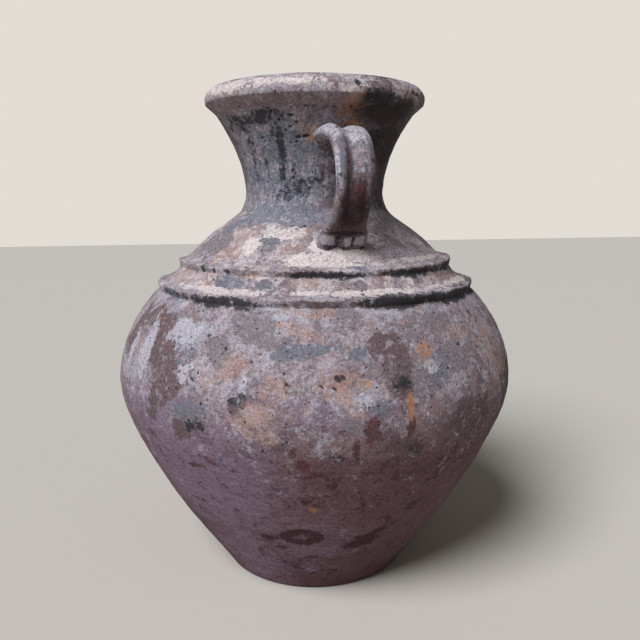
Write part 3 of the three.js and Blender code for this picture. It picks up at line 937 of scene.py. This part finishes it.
def weathered_clay(name, wash, crust, cream, veil, lines, strokes, holes):
    material = bpy.data.materials.new(name)
    material.use_nodes = True
    tree = material.node_tree
    shader = tree.nodes["Principled BSDF"]
    place = put(tree, "TexCoord")["Object"]
    height = put(tree, "SeparateXYZ", {0: place})["Z"]
    skin = use(tree, clay_skin, {"Place": place, "Wheel Lines": lines, "Brush Strokes": strokes})

    def patch(field, size, tear, speckle, soft, shift, everywhere=0.0):
        feeds = {"Place": place, "Field": field, "Size": size, "Tear": tear, "Speckle": speckle,
                 "Softness": soft, "Everywhere": everywhere, "Shift": (shift, 2.0 * shift, -shift)}
        return use(tree, torn_patch, feeds)["Mask"]

    def lay(mask, strength, below, above):
        return over(tree, sums(tree, "MULTIPLY", mask, strength), below, above)

    # the fired body; low marks the lower body, which faces down, where painted shade and a painted warm floor
    # bounce make it redder and darker towards the foot
    low = ramp(tree, height, 0.30, 0.19)
    body = over(tree, ramp(tree, skin["Tone"], 0.40, 0.60), CLAY_MAUVE, CLAY_PINK)
    body = lay(low, 0.9, body, CLAY_LOW_PAINTED_SHADE)
    body = lay(ramp(tree, height, 0.13, 0.02), 0.8, body, CLAY_FOOT_PAINTED_SHADE)
    body = lay(ramp(tree, skin["Lines"], 0.45, 0.7), 0.2 * lines, body, CLAY_PINK)
    # lavender bloom
    bloom = patch(attribute_field(tree, "bloom"), 40.0, 2.0, 2.2, 0.75, 0.3)
    colour = lay(bloom, 0.8, body, LAVENDER)
    # a grey veil of smoke, heaviest on the neck, and a brown darkening just under the lip
    under_lip = sums(tree, "MULTIPLY", ramp(tree, height, 0.5985, 0.5945), ramp(tree, height, 0.55, 0.58))
    veiled = sums(tree, "MAXIMUM", sums(tree, "MULTIPLY", under_lip, 0.8), veil)
    veiled = sums(tree, "MULTIPLY", veiled, ramp(tree, skin["Tone"], 0.3, 0.65, 0.7, 1.2))
    # lime wash, thick on the upper half and worn thin below
    whitest = over(tree, ramp(tree, height, 0.365, 0.385, 0.0, cream), LIME_WASH, LIME_CREAM)
    cover = ramp(tree, height, 0.13, 0.34, wash - 0.40, wash)
    cover = sums(tree, "ADD", cover, ramp(tree, height, 0.355, 0.385, 0.0, 0.10))
    cover = sums(tree, "MULTIPLY_ADD", skin["Regions"], 0.9, sums(tree, "SUBTRACT", cover, 0.45))
    cover = sums(tree, "MAXIMUM", cover, 0.0)
    thin = patch(cover, 40.0, 2.8, 1.4, 0.22, 1.1, everywhere=0.6)
    colour = lay(thin, 0.6, colour, LIME_WASH)
    # salmon clay showing through
    salmon = patch(attribute_field(tree, "salmon"), 45.0, 2.6, 1.4, 0.16, 3.7)
    warm = over(tree, ramp(tree, skin["Tone"], 0.4, 0.6), SALMON_DEEP, SALMON)
    colour = lay(salmon, 0.75, colour, warm)
    thick = patch(sums(tree, "SUBTRACT", cover, 0.08), 75.0, 3.0, 1.6, 0.09, 2.3, everywhere=0.6)
    colour = lay(thick, crust, colour, whitest)
    colour = over(tree, veiled, colour, over(tree, under_lip, VEIL_GREY, UNDER_LIP_BROWN))
    # matt patches of grey, blue and brown, each with some of the wash left on it; the brown also paints shade
    # on the neck's right side, the ledges' faces and the strap's flute
    for kind, paint, size, tear, strength in (
        ("stone", STONE_GREY, 48.0, 2.2, 0.86),
        ("dusk", DUSK_BLUE, 55.0, 2.6, 0.78),
        ("umber", UMBER_AND_SHADE, 48.0, 2.3, 0.88),
    ):
        colour = lay(patch(attribute_field(tree, kind), size, tear, 1.1, 0.10, len(kind)), strength, colour, paint)
    flakes = sums(tree, "MULTIPLY_ADD", cover, 0.4, ramp(tree, height, 0.10, 0.27, 0.01, 0.10))
    flakes = patch(flakes, 85.0, 2.8, 1.8, 0.12, 11.3, everywhere=0.7)
    # low down, in the painted shade, the flakes are lavender instead of white
    colour = lay(flakes, 0.8 * crust, colour, over(tree, low, LIME_WASH, LAVENDER))
    # small dark smudges everywhere
    smudge = patch(ramp(tree, height, 0.05, 0.25, 0.17, 0.23), 42.0, 2.8, 1.8, 0.14, 14.9, everywhere=0.8)
    # low down, in the painted shade, the smudges are dark red instead of grey
    colour = lay(smudge, 0.6, colour, over(tree, low, STONE_GREY, RUST_DARK))
    # bright lime that lies over them, with painted highlights along the ledges' top edges and on the lip
    lime = patch(attribute_field(tree, "lime"), 60.0, 2.8, 1.8, 0.12, 5.9)
    colour = lay(lime, 0.8, colour, whitest)
    # brushed lights and darks on the neck
    high_up = ramp(tree, height, 0.452, 0.475)
    dark_strokes = sums(tree, "MULTIPLY", ramp(tree, skin["Strokes"], 0.48, 0.60), high_up)
    pale_strokes = sums(tree, "MULTIPLY", ramp(tree, skin["Strokes"], 0.44, 0.34), high_up)
    colour = lay(dark_strokes, 0.7 * strokes, colour, DUSK_BLUE)
    colour = lay(pale_strokes, 0.45 * strokes, colour, LIME_WASH)
    # soot, with painted shade on the ledges' faces and painted shadow under the strap's foot; then rust and
    # ochre
    soot = patch(attribute_field(tree, "soot"), 95.0, 2.8, 3.0, 0.36, 7.1)
    colour = lay(soot, 0.93, colour, SOOT_AND_SHADE)
    rust = patch(attribute_field(tree, "rust"), 90.0, 2.0, 2.2, 0.26, 8.2)
    colour = lay(rust, 0.88, colour, over(tree, ramp(tree, height, 0.21, 0.14), RUST_RED, RUST_DARK))
    ochre = patch(attribute_field(tree, "ochre"), 120.0, 2.4, 2.4, 0.55, 9.4)
    colour = lay(ochre, 0.62, colour, OCHRE)
    # deep smoke and painted shade, without an edge: the neck's right side, away from the light, the ledges'
    # faces and the strap
    colour = lay(ramp(tree, attribute_field(tree, "smoke"), 0.0, 1.0), 0.85, colour, SMOKE_AND_SHADE)
    # holes where grit burnt out
    fine_grit = {"Place": place, "Spacing": 230.0, "Hole": 0.24, "Share": holes}
    coarse_grit = {"Place": place, "Spacing": 85.0, "Hole": 0.17, "Share": 0.5 * holes}
    small = use(tree, grit_holes, fine_grit)["Mask"]
    large = use(tree, grit_holes, coarse_grit)["Mask"]
    pits = patch(attribute_field(tree, "pits"), 200.0, 0.8, 0.8, 0.12, 0.0)
    hollow = sums(tree, "MAXIMUM", sums(tree, "MAXIMUM", small, large), pits)
    above_low = ramp(tree, height, 0.16, 0.26, 0.30, 0.85)
    colour = lay(hollow, above_low, colour, HOLE_DARK)
    # fine grain in the colour, and the bare inside
    shade_by = ramp(tree, skin["Grain"], 0.3, 0.7, 0.70, 1.28)
    colour = put(tree, "VectorMath", {0: colour, 3: shade_by}, operation="SCALE")[0]
    colour = over(tree, attribute_field(tree, "inside"), colour, INSIDE_DARK)
    tree.links.new(colour, shader.inputs["Base Color"])

    crusts = sums(tree, "ADD", sums(tree, "MULTIPLY", thick, 0.4), sums(tree, "MULTIPLY", flakes, 0.4))
    relief = sums(tree, "ADD", skin["Height"], sums(tree, "MULTIPLY_ADD", lime, 0.4, crusts))
    relief = sums(tree, "SUBTRACT", relief, sums(tree, "MULTIPLY", hollow, 1.3))
    bump = put(tree, "Bump", {"Strength": 0.75, "Distance": 0.0012, "Height": relief})["Normal"]
    tree.links.new(bump, shader.inputs["Normal"])
    roughness = ramp(tree, sums(tree, "ADD", soot, rust), 0.0, 1.0, 0.95, 0.8)
    tree.links.new(roughness, shader.inputs["Roughness"])
    shader.inputs["Specular IOR Level"].default_value = 0.22
    print(name, len(tree.nodes), "nodes")
    return material


CLAYS = {
    "body_clay": {
        "wash": 0.42, "crust": 0.50, "cream": 1.0, "veil": 0.12, "lines": 0.5, "strokes": 0.0, "holes": 0.34,
    },
    "neck_clay": {
        "wash": 0.42, "crust": 0.50, "cream": 0.4, "veil": 0.42, "lines": 0.15, "strokes": 0.9, "holes": 0.50,
    },
    "lip_clay": {
        "wash": 0.56, "crust": 0.50, "cream": 1.0, "veil": 0.14, "lines": 0.3, "strokes": 0.0, "holes": 0.25,
    },
    "handle_clay": {
        "wash": 0.36, "crust": 0.10, "cream": 0.2, "veil": 0.30, "lines": 0.0, "strokes": 0.9, "holes": 0.12,
    },
}
clays = {name: weathered_clay(name, **amounts) for name, amounts in CLAYS.items()}
CLAY_OF = {
    "neck": "neck_clay",
    "lip_collar": "lip_clay",
    "handle_front": "handle_clay",
    "handle_back": "handle_clay",
}
for name, piece in pieces.items():
    piece.data.materials.clear()
    piece.data.materials.append(clays[CLAY_OF.get(name, "body_clay")])

# %% [markdown]
# ## Floor, light and camera
# The jar stands on a plain pale floor under one large soft light from the upper left, as by a
# window, with a dim light on the other side. The camera looks slightly down at it.

# %% Camera, light and floor
bpy.ops.object.select_all(action="DESELECT")
bpy.ops.mesh.primitive_plane_add(size=12, location=(0, 0, 0))
floor = bpy.context.object
floor.name = "studio_floor"
paper = bpy.data.materials.new("studio_paper")
paper.use_nodes = True
paper.node_tree.nodes["Principled BSDF"].inputs["Base Color"].default_value = (0.5, 0.47, 0.43, 1)
paper.node_tree.nodes["Principled BSDF"].inputs["Roughness"].default_value = 0.9
floor.data.materials.append(paper)

VIEW_TURN, VIEW_DOWN, VIEW_ASIDE = -12.6, 10.5, -0.49
VIEW_DISTANCE, VIEW_HEIGHT = 0.9, 0.487
camera_data = bpy.data.cameras.new("camera")
camera_data.sensor_width = 36
camera_data.lens = 38.25
camera = bpy.data.objects.new("camera", camera_data)
turn = math.radians(VIEW_TURN)
camera.location = (VIEW_DISTANCE * math.sin(turn), -VIEW_DISTANCE * math.cos(turn), VIEW_HEIGHT)
camera.rotation_euler = (math.radians(90 - VIEW_DOWN), 0, turn + math.radians(VIEW_ASIDE))
bpy.context.scene.collection.objects.link(camera)
bpy.context.scene.camera = camera

# %% Lights
LIGHTS = [  # name, kind, the side it comes from, strength, colour, softness: width in m or spread in degrees
    ("window", "SUN", (-3.4, -2.9, 5.2), 4.3, (0.95, 0.965, 1.0), 29),
    ("room", "AREA", (3.6, -4.0, 2.4), 16, (1.0, 0.93, 0.86), 4.0),
]
for name, kind, place, strength, colour, softness in LIGHTS:
    light_data = bpy.data.lights.new(name, kind)
    light_data.energy = strength
    light_data.color = colour
    if kind == "SUN":
        light_data.angle = math.radians(softness)
    else:
        light_data.shape = "DISK"
        light_data.size = softness
    light = bpy.data.objects.new(name, light_data)
    light.location = place
    light.rotation_euler = (Vector((0, 0, 0.3)) - light.location).to_track_quat("-Z", "Y").to_euler()
    bpy.context.scene.collection.objects.link(light)
world = bpy.data.worlds.new("studio")
world.use_nodes = True
background = world.node_tree.nodes["Background"]
seen = world.node_tree.nodes.new("ShaderNodeLightPath").outputs["Is Camera Ray"]
brightness = world.node_tree.nodes.new("ShaderNodeMapRange")
brightness.inputs["To Min"].default_value = 0.155
brightness.inputs["To Max"].default_value = 0.88
world.node_tree.links.new(seen, brightness.inputs["Value"])
world.node_tree.links.new(brightness.outputs["Result"], background.inputs["Strength"])
background.inputs["Color"].default_value = (0.86, 0.82, 0.75, 1)
bpy.context.scene.world = world
bpy.context.scene.view_settings.view_transform = "Standard"

# %% [markdown]
# ## Pieces on the body
# Each finished piece stands for its plain one, which is hidden, and rides on the jar's one body.

# %% Pieces on the body
for name, piece in pieces.items():
    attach(piece, "root")
    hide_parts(name)
